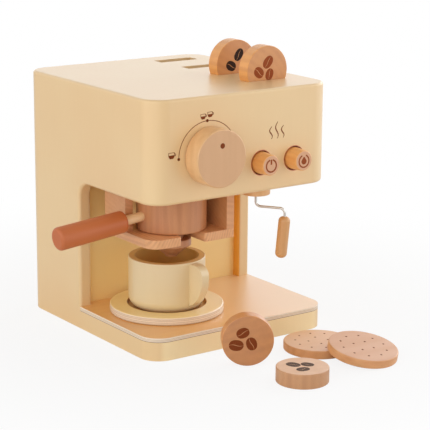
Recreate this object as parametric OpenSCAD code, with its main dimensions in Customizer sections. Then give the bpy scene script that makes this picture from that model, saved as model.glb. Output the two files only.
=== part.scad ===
// Wooden toy coffee maker with its cup, saucer, bean discs and biscuits.
// Millimetres. X to the right, Y to the back, Z up. The origin is the centre of the
// casing's underside. Each module is one piece as it would lie on the bench.

/* [Casing] */
// Width of the casing
body_w = 190; // [185:1:215]
// Depth of the casing
body_d = 212; // [205:1:235]
// Height of the casing
body_h = 226; // [218:1:245]
// Thickness of the side, front and back panels
panel_t = 12.5; // [11:0.5:14]
// Thickness of the top panel
top_t = 12; // [10:0.5:14]
// Radius of the upright corners
corner_r = 19; // [17:0.5:24]
// Round-over along the top edge
edge_r = 2.5; // [1:0.5:4]
// Round-over along the edges of the bay and the head's underside
bay_edge_r = 3; // [1:0.5:4]
// Height of the head's underside above the table
head_z = 136; // [132:1:142]
// Depth of the open bay, front face to column
bay_d = 119.5; // [112:0.5:130]
// Radius of the bay's upper rear corner in the side panels
bay_r = 14; // [8:1:20]
// Distance that the inner back wall sits behind the column's front
wall_recess = 8; // [4:0.5:14]
// Thickness of the inner back wall
wall_t = 6; // [4:0.5:9]
// Thickness of the head's floor
floor_t = 10; // [9:0.5:12]
// Height of the painted base board
base_h = 16.5; // [14:0.5:20]
// Thickness of the plywood base top
ply_t = 4; // [3:0.5:6]
// Diameter of the casing's dowels
dowel_d = 6; // [5:0.5:7]
// Length of the casing's dowels
dowel_l = 24; // [20:1:28]

/* [Bean disc slots] */
// Number of slots in the top
slot_count = 4; // [3:1:4]
// Length of a slot
slot_l = 41.8; // [38:0.2:43]
// Clearance of a disc across its slot
slot_fit = 0.9; // [0.5:0.1:1.5]
// Pitch from slot to slot
slot_pitch = 46; // [42:0.5:47]
// Distance of the front slot's centre behind the front face
slot_setback = 45; // [40:1:50]
// Distance of the slots' centres from the casing's right side
slot_inset = 42.7; // [37:0.5:47]

/* [Dial] */
// Distance of the dial from the casing's left side
dial_inset = 57.5; // [50:0.5:61]
// Height of the dial's centre
dial_z = 175; // [172:0.5:180]
// Diameter of the dial
dial_d = 50; // [44:1:56]
// Thickness of the dial
dial_t = 18.6; // [15:0.2:22]
// Rounding of the dial's edges
dial_edge = 1.2; // [0.5:0.1:2]
// Diameter of the dial's wooden shaft
shaft_d = 8; // [6:0.5:10]

/* [Push buttons] */
// Distance of the second button from the casing's right side
button_inset = 41; // [37:0.2:42]
// Pitch between the two buttons
button_pitch = 35.8; // [34:0.2:40]
// Height of the buttons' centres above the head's underside
button_rise = 26; // [25:0.5:34]
// Diameter of the holes in the front
button_hole_d = 21.4; // [20:0.2:23]
// Radial gap round a button where it enters its hole
button_gap = 0.9; // [0.6:0.1:1.2]
// Diameter of a button's front face
button_face_d = 18; // [15:0.2:18.4]
// How far a button stands out
button_out = 14; // [10:0.5:17]
// Travel of a button
button_travel = 6; // [3:0.5:8]
// Diameter of a button's guide pin
pin_d = 7; // [6:0.5:8]

/* [Steam wand] */
// Distance of the wand from the casing's right side
wand_inset = 56.2; // [45:0.2:59]
// Distance of the wand behind the front face
wand_setback = 34.8; // [30:0.2:50]
// Diameter of the wooden collar
collar_d = 25.6; // [22:0.2:28]
// Thickness of the wooden collar
collar_t = 11; // [8:0.5:14]
// Diameter of the wire
wire_d = 2.2; // [1.8:0.1:3]
// Bend radius of the wire, to its centre line
wire_bend_r = 4.5; // [4:0.5:6]
// Drop from the collar to the wire's level arm
wand_drop = 11.3; // [9:0.1:14]
// Length of the level arm, axis to axis
wand_arm = 27.4; // [24:0.2:32]
// Drop from the level arm to the grip
grip_drop = 7.2; // [6.5:0.1:9]
// Length of the wand's grip
wand_grip_l = 38.5; // [32:0.5:44]
// Diameter of the wand's grip
wand_grip_d = 10.6; // [9:0.1:12]
// Lean of the grip back towards the collar, in degrees
wand_lean = 4.8; // [0:0.2:8]
// Direction of the arm, clockwise from straight right, in degrees
wand_turn = 55; // [20:1:90]

/* [Bracket] */
// Width of the bracket, outside to outside
bracket_w = 86.4; // [84:0.2:92]
// Thickness of the bracket's shelf
shelf_t = 7.8; // [7:0.2:10]
// Thickness of the bracket's two posts
post_t = 7.8; // [7:0.2:9]
// Height of the shelf's underside
shelf_z = 92; // [90:0.5:95]
// Distance of the shelf's front behind the front face
shelf_setback = 24; // [20:0.5:28]
// Depth of the shelf
shelf_d = 76; // [72:1:84]
// Depth of the left post
left_post_d = 33.6; // [28:0.2:34]
// Radius of the shelf's front left corner
shelf_r = 13; // [8:0.5:16]

/* [Portafilter] */
// Distance of the portafilter's axis from the casing's left side
filter_inset = 58.6; // [57:0.2:61]
// Distance of the portafilter's axis behind the front face
filter_setback = 58.7; // [57:0.2:62]
// Diameter of the basket
basket_d = 62.6; // [58:0.2:65]
// Diameter of the hollow in the basket
hollow_d = 50; // [47:0.5:52]
// Depth of the hollow in the basket
hollow_t = 12.8; // [10:0.2:13.4]
// Diameter of the neck dowel
neck_d = 8.6; // [7:0.2:9.2]
// Height of the neck's line above the basket's bottom, on the basket's axis
neck_rise = 16.7; // [15:0.1:17]
// Droop of the neck and grip, in degrees
neck_droop = 5.7; // [2:0.1:6]
// Distance from the basket's axis to the grip
grip_start = 49.9; // [46:0.1:54]
// Length of the grip
grip_l = 67.1; // [60:0.1:80]
// Diameter of the grip next to the basket
grip_d = 19.6; // [17:0.2:20]
// Diameter of the grip at its free end
grip_end_d = 20.4; // [18:0.2:24]
// Diameter of the spout's stem
stem_d = 22; // [18:0.5:24]
// Clearance of the stem in the shelf's slot, each side
stem_gap = 1.3; // [0.8:0.1:2]
// Diameter of the spout's disc
spout_d = 35.4; // [32:0.2:38]
// Thickness of the spout's disc
spout_t = 6.9; // [5:0.1:8]
// Height of the spout's cone
cone_h = 10.5; // [8:0.1:11]
// Diameter of the spout's tip
tip_d = 11.6; // [8:0.2:14]
// Diameter of the pin that the basket turns on
pivot_d = 10; // [8:0.5:11]

/* [Cup and saucer] */
// Distance of the cup from the casing's left side
cup_inset = 61.5; // [57:0.5:65]
// Distance of the cup behind the front face
cup_setback = 70.2; // [64:0.2:74]
// Diameter of the cup
cup_d = 69.2; // [60:0.2:71]
// Thickness of the cup's wall
cup_wall = 5.8; // [4:0.2:7]
// Height of the cup
cup_h = 47; // [40:0.5:48]
// Rounding of the cup's lower edge
cup_edge = 11; // [6:0.5:13]
// Thickness of the cup's floor
cup_floor = 6; // [4:0.5:9]
// Reach of the cup's ear beyond the wall
ear_reach = 16.2; // [13:0.2:18]
// Thickness of the cup's ear
ear_t = 8.5; // [7:0.1:11]
// Direction of the ear, clockwise from straight right, in degrees
ear_turn = 82; // [60:1:110]
// Diameter of the saucer
saucer_d = 102.6; // [96:0.2:104]
// Thickness of the saucer
saucer_t = 7.4; // [6:0.1:9]
// Depth of the saucer's recess
recess_t = 3.4; // [2:0.1:4]
// Radial gap round the cup in the recess
recess_gap = 1.3; // [1:0.1:3]

/* [Bean discs and biscuits] */
// Diameter of a bean disc
disc_d = 44.5; // [43:0.5:46]
// Thickness of a bean disc
disc_t = 12.7; // [11:0.1:13.2]
// Rounding of a bean disc's edges
disc_edge = 0.7; // [0.3:0.1:1.5]
// Diameter of a biscuit
biscuit_d = 61; // [55:0.5:64]
// Thickness of a biscuit
biscuit_t = 7.4; // [5:0.1:9]
// Diameter of the dimples in a biscuit
dimple_d = 1.5; // [1:0.1:2]
// Depth of the dimples in a biscuit
dimple_t = 1.2; // [0.6:0.1:2]
// Place of the standing disc on the table, to the left of the middle
standing_x = 27.3; // [20:0.1:34]
// Place of the standing disc in front of the casing
standing_y = 43.5; // [38:0.1:50]
// Direction that the standing disc faces, clockwise from straight right, in degrees
standing_turn = 120.4; // [100:0.1:130]
// Place of the lying disc on the table, to the left of the middle
lying_x = 14.7; // [8:0.1:20]
// Place of the lying disc in front of the casing
lying_y = 103.5; // [95:0.1:110]
// Place of the flat biscuit on the table, to the right of the middle
biscuit_x = 48.5; // [44:0.1:54]
// Place of the flat biscuit in front of the casing
biscuit_y = 46; // [40:0.1:52]
// Distance between the biscuits' centres on the table
biscuit_pitch = 45.2; // [40:0.1:50]
// Direction from the flat biscuit to the leaning one, clockwise from right, in degrees
biscuit_turn = 72.9; // [60:0.1:80]

/* [Fits] */
// Radial clearance of a turning or sliding shaft in its bore
run_fit = 0.05; // [0.02:0.01:0.1]
// Radial clearance of a glued dowel or a screw in its hole
glue_fit = 0.03; // [0.01:0.01:0.1]
// Gap between a loose piece and its seat
rest_gap = 0.3; // [0.2:0.05:0.5]

/* [Hidden] */
$fn = 96;

cream = "#ecd2a4";
beech = "#dfb085";
pale_wood = "#efd3a6";
ply_wood = "#f0cfa4";
terracotta = "#b4653c";
steel = "#b9b7b2";

// Planes of the casing
front_y = -body_d / 2;
back_y = body_d / 2;
side_x = body_w / 2;
inner_x = side_x - panel_t;
fascia_y = front_y + panel_t;
rear_y = back_y - panel_t;
under_top_z = body_h - top_t;
column_y = front_y + bay_d;
wall_y = column_y + wall_recess;
table_top_z = base_h + ply_t;
floor_top_z = head_z + floor_t;

// Joinery of the casing: a dowel reaches a third of its length into the second piece
dowel_short = dowel_l / 3;
dowel_long = dowel_l - dowel_short;
dowel_x = side_x - panel_t / 2 - 1;
dowel_end_gap = 0.5;
dowel_inset = 25;

// Axes of the moving pieces
dial_x = dial_inset - side_x;
button_xs = [side_x - button_inset - button_pitch, side_x - button_inset];
wand_x = side_x - wand_inset;
wand_y = front_y + wand_setback;
filter_x = filter_inset - side_x;
filter_y = front_y + filter_setback;
cup_x = cup_inset - side_x;
cup_y = front_y + cup_setback;

// Dial train behind the knob
dial_gap = 0.5;
shaft_in_knob = dial_t * 0.6;
dial_washer_d = shaft_d + 12;
washer_t = 1.5;

// Button train behind the fascia
flange_d = button_hole_d + 4.6;
flange_t = 4;
pocket_d = flange_d + 1;
spring_room = button_travel + 8;
pocket_t = flange_t + rest_gap + spring_room;
guide_t = 12;
guide_y = fascia_y + pocket_t;
guide_margin = 6;
guide_foot = 2;
pin_in_button = 12;
button_z = head_z + max(button_rise, floor_t + guide_foot + pocket_d / 2);
spring_d = pin_d + 7;
spring_wire_d = 1;
spring_turns = 5;

// Heights of the bracket and portafilter
shelf_top_z = shelf_z + shelf_t;
shelf_front_y = front_y + shelf_setback;
shelf_back_y = shelf_front_y + shelf_d;
basket_z = shelf_top_z + rest_gap;
basket_h = head_z - 2 - basket_z;
basket_floor_z = basket_z + basket_h - hollow_t;
basket_edge = 1.5;
spout_top_z = shelf_z - 1.1;
spout_z = spout_top_z - spout_t;
neck_in_basket = 13;
neck_in_grip = 22;
grip_edge = 3;

// Heights of the cup and saucer
saucer_z = table_top_z;
cup_z = saucer_z + saucer_t - recess_t;
ear_low_r = 28.4;
ear_high_r = 9.6;
ear_straight = 3.3;
ear_top = 1.1;

// Slots and their discs
slot_x = side_x - slot_inset;
slot_w = disc_t + slot_fit;
disc_seat_r = disc_d / 2 + rest_gap;
disc_lift = sqrt(disc_seat_r * disc_seat_r - slot_l * slot_l / 4);

function slot_y(i) = front_y + slot_setback + i * slot_pitch;

// ---------- shared shapes ----------

// Outline of the casing seen from above
module footprint() {
    for (sx = [-1, 1], sy = [-1, 1])
        translate([sx * (side_x - corner_r), sy * (back_y - corner_r)]) circle(corner_r);
    square([body_w - 2 * corner_r, body_d], center = true);
    square([body_w, body_d - 2 * corner_r], center = true);
}

// Part of the footprint in front of (side = -1) or behind (side = 1) the side panels
module footprint_end(side) {
    intersection() {
        footprint();
        translate([-body_w, side < 0 ? front_y - 1 : back_y - corner_r])
            square([2 * body_w, corner_r + 1]);
    }
}

// Hollow side of an end panel, which leaves the two corner blocks standing
module end_pocket(side) {
    translate([-inner_x, side < 0 ? fascia_y : back_y - corner_r - 1])
        square([2 * inner_x, corner_r - panel_t + 1]);
}

// Cylinder along +Y
module rod_y(x, z, y0, y1, d) {
    translate([x, y0, z]) rotate([-90, 0, 0]) cylinder(d = d, h = y1 - y0);
}

// Half profile of a disc with rounded edges
module disc_profile(r, t, edge) {
    square([r - edge, t]);
    translate([0, edge]) square([r, t - 2 * edge]);
    for (z = [edge, t - edge]) translate([r - edge, z]) circle(edge, $fn = 48);
}

// Disc standing on z = 0
module turned_disc(d, t, edge) {
    rotate_extrude() intersection() {
        disc_profile(d / 2, t, edge);
        square([d, t]);
    }
}

// What a round-over takes from a corner at the origin, with the wood at +X and +Y
module round_off(r) {
    difference() {
        translate([-1, -1]) square(r + 1);
        translate([r, r]) circle(r, $fn = 48);
    }
}

// Countersunk screw: the head's top is z = 0 and the point looks down
screw_d = 3.4;
screw_head_d = 6.8;
screw_head_t = 2.2;
module screw(l, grow = 0) {
    shank_r = screw_d / 2 + grow;
    rotate_extrude() polygon([[0, 0], [screw_head_d / 2 + grow, 0], [shank_r, -screw_head_t],
        [shank_r, -l + 3], [0, -l - grow]]);
}

// Dowel along +Z, centred where its short part ends
module dowel(grow = 0) {
    cylinder(d = dowel_d + 2 * grow, h = dowel_short + (grow > 0 ? dowel_end_gap : 0));
    mirror([0, 0, 1])
        cylinder(d = dowel_d + 2 * grow, h = dowel_long + (grow > 0 ? dowel_end_gap : 0));
}

// Every dowel of the casing, or their holes when grow is above zero
module dowel_set(grow = 0) {
    for (sx = [-1, 1]) {
        for (z = [head_z + dowel_inset, under_top_z - dowel_inset])
            translate([sx * dowel_x, front_y + corner_r, z]) rotate([90, 0, 0]) dowel(grow);
        for (z = [dowel_inset, under_top_z - dowel_inset])
            translate([sx * dowel_x, back_y - corner_r, z]) rotate([-90, 0, 0]) dowel(grow);
        for (y = [-body_d / 4, body_d / 4])
            translate([sx * dowel_x, y, under_top_z]) dowel(grow);
        for (y = [-body_d / 4, body_d / 5])
            translate([sx * inner_x, y, base_h / 2]) rotate([0, sx * 90, 0]) dowel(grow);
    }
}

// ---------- casing ----------

module base_board() {
    color(cream) difference() {
        linear_extrude(base_h) {
            footprint_end(-1);
            translate([-inner_x, front_y + corner_r - 0.01])
                square([2 * inner_x, rear_y - front_y - corner_r + 0.01]);
        }
        dowel_set(glue_fit);
    }
}

module base_ply_top() {
    color(ply_wood) translate([0, 0, base_h]) linear_extrude(ply_t) {
        intersection() {
            footprint();
            translate([-body_w, front_y - 1]) square([2 * body_w, bay_d + 1]);
        }
        translate([-inner_x, column_y - 0.01]) square([2 * inner_x, wall_recess + 0.01]);
    }
}

// Side view of a side panel: base rail, column and head in one C
module side_profile() {
    y0 = front_y + corner_r;
    difference() {
        translate([y0, 0]) square([body_d - 2 * corner_r, under_top_z]);
        translate([y0 - 1, base_h]) square([column_y - y0 + 1, head_z - base_h - bay_r]);
        translate([y0 - 1, base_h]) square([column_y - y0 + 1 - bay_r, head_z - base_h]);
        translate([column_y - bay_r, head_z - bay_r]) circle(bay_r);
    }
}

// Round-overs along one edge of the bay: up the column, round its corner, along the head
module bay_round_off() {
    y0 = front_y + corner_r;
    translate([0, column_y, table_top_z])
        linear_extrude(head_z - bay_r - table_top_z) round_off(bay_edge_r);
    translate([0, column_y - bay_r, head_z]) rotate([90, 0, 0])
        linear_extrude(column_y - bay_r - y0 + 1) round_off(bay_edge_r);
    translate([0, column_y - bay_r, head_z - bay_r]) rotate([0, 90, 0]) rotate([0, 0, 90])
        rotate_extrude(angle = 90) translate([bay_r, 0]) rotate([0, 0, 90])
            mirror([0, 1, 0]) round_off(bay_edge_r);
}

module side_panel(side) {
    color(cream) difference() {
        translate([side < 0 ? -side_x : inner_x, 0, 0])
            rotate([90, 0, 90]) linear_extrude(panel_t) side_profile();
        translate([side < 0 ? -side_x : inner_x, 0, 0]) bay_round_off();
        translate([side < 0 ? -inner_x : side_x, 0, 0]) mirror([1, 0, 0]) bay_round_off();
        dowel_set(glue_fit);
    }
}

module left_side_panel() side_panel(-1);
module right_side_panel() side_panel(1);

// Round-over along the fascia's lower outer edge
module fascia_round_off() {
    translate([side_x - corner_r, front_y, head_z]) rotate([90, 0, -90])
        linear_extrude(body_w - 2 * corner_r) mirror([1, 0, 0]) round_off(bay_edge_r);
    for (s = [0, 1]) mirror([s, 0, 0])
        translate([side_x - corner_r, front_y + corner_r, head_z])
            rotate([0, 0, -90]) rotate_extrude(angle = 90)
                translate([corner_r, 0]) mirror([1, 0, 0]) round_off(bay_edge_r);
}

module front_fascia() {
    color(cream) difference() {
        translate([0, 0, head_z]) linear_extrude(under_top_z - head_z) difference() {
            footprint_end(-1);
            end_pocket(-1);
        }
        fascia_round_off();
        for (x = button_xs) rod_y(x, button_z, front_y - 1, fascia_y + 1, button_hole_d);
        rod_y(dial_x, dial_z, front_y - 1, fascia_y + 1, shaft_d + 2 * run_fit);
        guide_screw_set(glue_fit);
        dowel_set(glue_fit);
    }
}

module back_panel() {
    color(cream) difference() {
        linear_extrude(under_top_z) difference() {
            footprint_end(1);
            end_pocket(1);
        }
        dowel_set(glue_fit);
    }
}

// Slab with its upper edge rounded, built from straight runs and turned corners
module rounded_top() {
    run_profile_t = top_t - edge_r;
    module run(l, w) {
        translate([0, l / 2, 0]) rotate([90, 0, 0]) linear_extrude(l) {
            translate([-w / 2, 0]) square([w, run_profile_t]);
            translate([-w / 2 + edge_r, 0]) square([w - 2 * edge_r, top_t]);
            for (s = [-1, 1])
                translate([s * (w / 2 - edge_r), run_profile_t]) circle(edge_r, $fn = 48);
        }
    }
    run(body_d - 2 * corner_r, body_w);
    rotate([0, 0, 90]) run(body_w - 2 * corner_r, body_d);
    for (sx = [-1, 1], sy = [-1, 1])
        translate([sx * (side_x - corner_r), sy * (back_y - corner_r), 0])
            rotate_extrude() {
                square([corner_r, run_profile_t]);
                square([corner_r - edge_r, top_t]);
                translate([corner_r - edge_r, run_profile_t]) intersection() {
                    circle(edge_r, $fn = 48);
                    square(edge_r);
                }
            }
}

module top_panel() {
    color(cream) difference() {
        translate([0, 0, under_top_z]) rounded_top();
        for (i = [0 : slot_count - 1])
            translate([slot_x - slot_l / 2, slot_y(i) - slot_w / 2, under_top_z - 1])
                cube([slot_l, slot_w, top_t + 2]);
        dowel_set(glue_fit);
    }
}

module head_floor_panel() {
    color(cream) difference() {
        translate([-inner_x, fascia_y, head_z])
            cube([2 * inner_x, wall_y + wall_t - fascia_y, floor_t]);
        translate([wand_x, wand_y, head_z - 1])
            cylinder(d = wire_d + 2 * run_fit, h = floor_t + 2);
        bracket_screw_set(glue_fit);
    }
}

module inner_back_wall() {
    color(cream) translate([-inner_x, wall_y, base_h])
        cube([2 * inner_x, wall_t, head_z - base_h]);
}

module casing_dowels() {
    color(beech) dowel_set();
}

// ---------- bracket ----------

left_post_x = filter_x - bracket_w / 2;
right_post_x = filter_x + bracket_w / 2 - post_t;
left_post_y = shelf_back_y - left_post_d;
bracket_joints = [
    for (t = [0.25, 0.75]) [left_post_x + post_t / 2, left_post_y + left_post_d * t],
    for (t = [0.15, 0.85]) [right_post_x + post_t / 2, shelf_front_y + shelf_d * t]];
bracket_screw_l = 30;
bracket_dowel_d = 4;
bracket_dowel_reach = 6;

module bracket_screw_set(grow = 0) {
    for (p = bracket_joints)
        translate([p[0], p[1], floor_top_z]) screw(bracket_screw_l, grow);
}

module bracket_dowel_set(grow = 0) {
    end_gap = grow > 0 ? 0.3 : 0;
    for (p = bracket_joints)
        translate([p[0], p[1], shelf_top_z - bracket_dowel_reach - end_gap])
            cylinder(d = bracket_dowel_d + 2 * grow, h = 2 * (bracket_dowel_reach + end_gap));
}

module bracket_shelf() {
    slot_r = stem_d / 2 + stem_gap;
    color(beech) difference() {
        translate([left_post_x, shelf_front_y, shelf_z]) linear_extrude(shelf_t) {
            translate([shelf_r, 0]) square([bracket_w - shelf_r, shelf_d]);
            translate([0, shelf_r]) square([bracket_w, shelf_d - shelf_r]);
            translate([shelf_r, shelf_r]) circle(shelf_r);
        }
        translate([filter_x, filter_y, shelf_z - 1]) {
            cylinder(r = slot_r, h = shelf_t + 2);
            translate([-slot_r, shelf_front_y - filter_y - 1, 0])
                    cube([2 * slot_r, filter_y - shelf_front_y + 1, shelf_t + 2]);
            for (s = [0, 1]) mirror([s, 0, 0])
                translate([slot_r, shelf_front_y - filter_y, 0])
                    linear_extrude(shelf_t + 2) round_off(2);
        }
        bracket_dowel_set(glue_fit);
    }
}

module post(x, y, d) {
    color(beech) difference() {
        translate([x, y, shelf_top_z]) cube([post_t, d, head_z - shelf_top_z]);
        bracket_screw_set(glue_fit);
        bracket_dowel_set(glue_fit);
    }
}

module bracket_left_post() post(left_post_x, left_post_y, left_post_d);
module bracket_right_post() post(right_post_x, shelf_front_y, shelf_d);

module bracket_screws() {
    color(steel) bracket_screw_set();
}

module bracket_dowels() {
    color(pale_wood) bracket_dowel_set();
}

// ---------- dial ----------

module dial_knob() {
    color(beech) difference() {
        translate([dial_x, front_y - dial_gap, dial_z]) rotate([90, 0, 0])
            turned_disc(dial_d, dial_t, dial_edge);
        rod_y(dial_x, dial_z, front_y - dial_gap - shaft_in_knob - rest_gap,
            front_y, shaft_d + 2 * glue_fit);
    }
}

shaft_end_y = fascia_y + rest_gap;
dial_screw_l = 16;
module dial_screw_shape(grow = 0) {
    translate([dial_x, shaft_end_y + washer_t, dial_z]) rotate([-90, 0, 0])
        screw(dial_screw_l, grow);
}

module dial_shaft() {
    color(pale_wood) difference() {
        rod_y(dial_x, dial_z, front_y - dial_gap - shaft_in_knob, shaft_end_y, shaft_d);
        dial_screw_shape(glue_fit);
    }
}

module dial_washer() {
    color(steel) difference() {
        rod_y(dial_x, dial_z, shaft_end_y, shaft_end_y + washer_t, dial_washer_d);
        dial_screw_shape(glue_fit);
    }
}

module dial_screw() {
    color(steel) dial_screw_shape();
}

// ---------- push buttons ----------

// Button with its flange behind the fascia, turned in one piece
module button(x) {
    base_r = button_hole_d / 2 - button_gap;
    face_r = button_face_d / 2;
    edge = 1;
    flange_y = fascia_y + rest_gap;
    back_y = flange_y + flange_t;
    body_l = back_y - front_y;
    color(beech) difference() {
        translate([x, back_y, button_z]) rotate([90, 0, 0]) rotate_extrude() {
            square([flange_d / 2, flange_t]);
            square([base_r, body_l]);
            translate([0, body_l - 0.01])
                polygon([[0, 0], [base_r, 0], [face_r, button_out - edge], [0, button_out - edge]]);
            square([face_r - edge, body_l + button_out]);
            intersection() {
                translate([face_r - edge, body_l + button_out - edge]) circle(edge, $fn = 48);
                square([face_r, body_l + button_out]);
            }
        }
        rod_y(x, button_z, back_y - pin_in_button, back_y + 1, pin_d + 2 * glue_fit);
    }
}

module button_pin(x) {
    y0 = fascia_y + rest_gap + flange_t - pin_in_button + rest_gap;
    color(pale_wood) rod_y(x, button_z, y0, guide_y + guide_t, pin_d);
}

// Coil spring round the guide pin, between the flange and the guide block
module spring(x) {
    steps = 20;
    sides = 8;
    y0 = fascia_y + rest_gap + flange_t + spring_wire_d / 2;
    l = guide_y - y0 - spring_wire_d / 2;
    coil_r = (spring_d - spring_wire_d) / 2;
    rings = spring_turns * steps;
    slope = atan(l / (spring_turns * 2 * PI * coil_r));
    function ring_point(i, k) =
        let (a = 360 * i / steps, b = 360 * k / sides, q = spring_wire_d / 2)
        let (out = coil_r + q * cos(b), up = q * sin(b))
        [x + out * cos(a) - up * sin(slope) * sin(a),
         y0 + l * i / rings + up * cos(slope),
         button_z + out * sin(a) + up * sin(slope) * cos(a)];
    points = [for (i = [0 : rings], k = [0 : sides - 1]) ring_point(i, k)];
    walls = [for (i = [0 : rings - 1], k = [0 : sides - 1])
        let (n = (k + 1) % sides)
        [i * sides + k, (i + 1) * sides + k, (i + 1) * sides + n, i * sides + n]];
    first_cap = [for (k = [0 : sides - 1]) k];
    last_cap = [for (k = [0 : sides - 1]) rings * sides + sides - 1 - k];
    color(steel) polyhedron(points, concat(walls, [first_cap, last_cap]));
}

module power_button() button(button_xs[0]);
module power_button_pin() button_pin(button_xs[0]);
module power_button_spring() spring(button_xs[0]);
module brew_button() button(button_xs[1]);
module brew_button_pin() button_pin(button_xs[1]);
module brew_button_spring() spring(button_xs[1]);

// Block on the head's floor with a pocket for each flange and a bore for each guide pin
module button_guide_block() {
    x0 = button_xs[0] - pocket_d / 2 - guide_margin;
    x1 = button_xs[1] + pocket_d / 2 + guide_margin;
    z1 = button_z + pocket_d / 2 + guide_margin;
    color(pale_wood) difference() {
        translate([x0, fascia_y, floor_top_z])
            cube([x1 - x0, pocket_t + guide_t, z1 - floor_top_z]);
        for (x = button_xs) {
            rod_y(x, button_z, fascia_y - 1, guide_y, pocket_d);
            rod_y(x, button_z, guide_y - 1, guide_y + guide_t + 1, pin_d + 2 * run_fit);
        }
        guide_screw_set(glue_fit);
        translate([wand_x, wand_y, floor_top_z - 1])
            cylinder(d = push_nut_d + 2, h = wire_top_z - floor_top_z + 2);
    }
}

guide_screw_bite = 8;
guide_screw_l = pocket_t + guide_t + guide_screw_bite;
guide_screw_rises = [-4, 11];
module guide_screw_set(grow = 0) {
    for (rise = guide_screw_rises)
        translate([(button_xs[0] + button_xs[1]) / 2, guide_y + guide_t, button_z + rise])
            rotate([-90, 0, 0]) screw(guide_screw_l, grow);
}

module guide_block_screws() {
    color(steel) guide_screw_set();
}

// ---------- steam wand ----------

arm_z = head_z - collar_t - wand_drop;
push_nut_z = floor_top_z + rest_gap;
push_nut_t = 1.6;
push_nut_rim = 3;
push_nut_d = wire_d + 2 * push_nut_rim;
wire_top_z = push_nut_z + push_nut_t + 1;

module steam_wand_collar() {
    color(beech) difference() {
        translate([wand_x, wand_y, head_z - collar_t]) turned_disc(collar_d, collar_t, 1);
        translate([wand_x, wand_y, head_z - collar_t - 1])
            cylinder(d = wire_d + 2 * run_fit, h = collar_t + 2);
    }
}

// Frame of the wand: origin where the wire meets its level arm, +X out along the arm
module at_wand() {
    translate([wand_x, wand_y, arm_z]) rotate([0, 0, -wand_turn]) children();
}

wire_in_grip = 14;
module steam_wand_wire() {
    r = wire_d / 2;
    top = wire_top_z - arm_z;
    module bend() {
        rotate([90, 0, 0]) rotate_extrude(angle = 90) translate([wire_bend_r, 0]) circle(r);
    }
    color(steel) at_wand() {
        translate([0, 0, wire_bend_r]) cylinder(r = r, h = top - wire_bend_r);
        translate([wire_bend_r, 0, wire_bend_r]) rotate([0, 180, 0]) bend();
        translate([wire_bend_r, 0, 0]) rotate([0, 90, 0])
            cylinder(r = r, h = wand_arm - 2 * wire_bend_r);
        translate([wand_arm - wire_bend_r, 0, -wire_bend_r]) bend();
        translate([wand_arm, 0, -grip_drop - wire_in_grip])
            cylinder(r = r, h = grip_drop + wire_in_grip - wire_bend_r);
    }
}

// The grip leans on the wire's straight end, which enters it upright
module steam_wand_grip() {
    round_r = 4.4;
    color(beech) at_wand() translate([wand_arm, 0, -grip_drop]) difference() {
        rotate([0, wand_lean, 0]) translate([0, 0, -wand_grip_l])
            turned_disc(wand_grip_d, wand_grip_l, round_r);
        translate([0, 0, -wire_in_grip - rest_gap])
            cylinder(d = wire_d + 2 * glue_fit, h = wire_in_grip + rest_gap + 1);
    }
}

module steam_wand_push_nut() {
    color(steel) translate([wand_x, wand_y, push_nut_z]) difference() {
        cylinder(d = push_nut_d, h = push_nut_t);
        translate([0, 0, -1]) cylinder(d = wire_d + 2 * glue_fit, h = push_nut_t + 2);
    }
}

// ---------- portafilter ----------

pivot_top_z = basket_floor_z + rest_gap;
spout_washer_d = pivot_d + 9;
spout_washer_t = 1;
spout_screw_l = 14;

module spout_screw_shape(grow = 0) {
    translate([filter_x, filter_y, pivot_top_z + spout_washer_t + screw_head_t - 0.8])
        screw(spout_screw_l, grow);
}

module portafilter_spout() {
    tip_edge = 1.5;
    color(beech) difference() {
        translate([filter_x, filter_y, spout_z]) rotate_extrude() {
            translate([0, -cone_h]) intersection() {
                union() {
                    square([tip_d / 2 - tip_edge, tip_edge]);
                    translate([tip_d / 2 - tip_edge, tip_edge]) circle(tip_edge, $fn = 48);
                }
                square([tip_d, tip_edge]);
            }
            polygon([[0, 0.01], [0, tip_edge - cone_h], [tip_d / 2, tip_edge - cone_h],
                [spout_d / 2 - 1, 0.01]]);
            disc_profile(spout_d / 2, spout_t, 0.8);
            square([stem_d / 2, basket_z - 0.1 - spout_z]);
            square([pivot_d / 2, pivot_top_z - spout_z]);
        }
        spout_screw_shape(glue_fit);
    }
}

module spout_washer() {
    color(steel) difference() {
        translate([filter_x, filter_y, pivot_top_z])
            cylinder(d = spout_washer_d, h = spout_washer_t);
        spout_screw_shape(glue_fit);
    }
}

module spout_screw() {
    color(steel) spout_screw_shape();
}

// Frame of the neck: origin on the basket's axis, +Z out along the neck
module at_neck() {
    translate([filter_x, filter_y, basket_z + neck_rise])
        rotate([0, -90 - neck_droop, 0]) children();
}

neck_start = basket_d / 2 - neck_in_basket;
module portafilter_basket() {
    hollow_edge = 1.5;
    color(beech) difference() {
        translate([filter_x, filter_y, basket_z]) turned_disc(basket_d, basket_h, basket_edge);
        translate([filter_x, filter_y, basket_floor_z]) rotate_extrude() {
            translate([0, hollow_edge]) square([hollow_d / 2, hollow_t]);
            square([hollow_d / 2 - hollow_edge, hollow_t]);
            translate([hollow_d / 2 - hollow_edge, hollow_edge]) circle(hollow_edge, $fn = 48);
        }
        translate([filter_x, filter_y, basket_z - 1])
            cylinder(d = pivot_d + 2 * run_fit, h = basket_h);
        at_neck() translate([0, 0, neck_start - rest_gap])
            cylinder(d = neck_d + 2 * glue_fit, h = basket_d);
    }
}

module portafilter_neck() {
    color(pale_wood) at_neck() translate([0, 0, neck_start])
        cylinder(d = neck_d, h = grip_start + neck_in_grip - neck_start);
}

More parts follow.
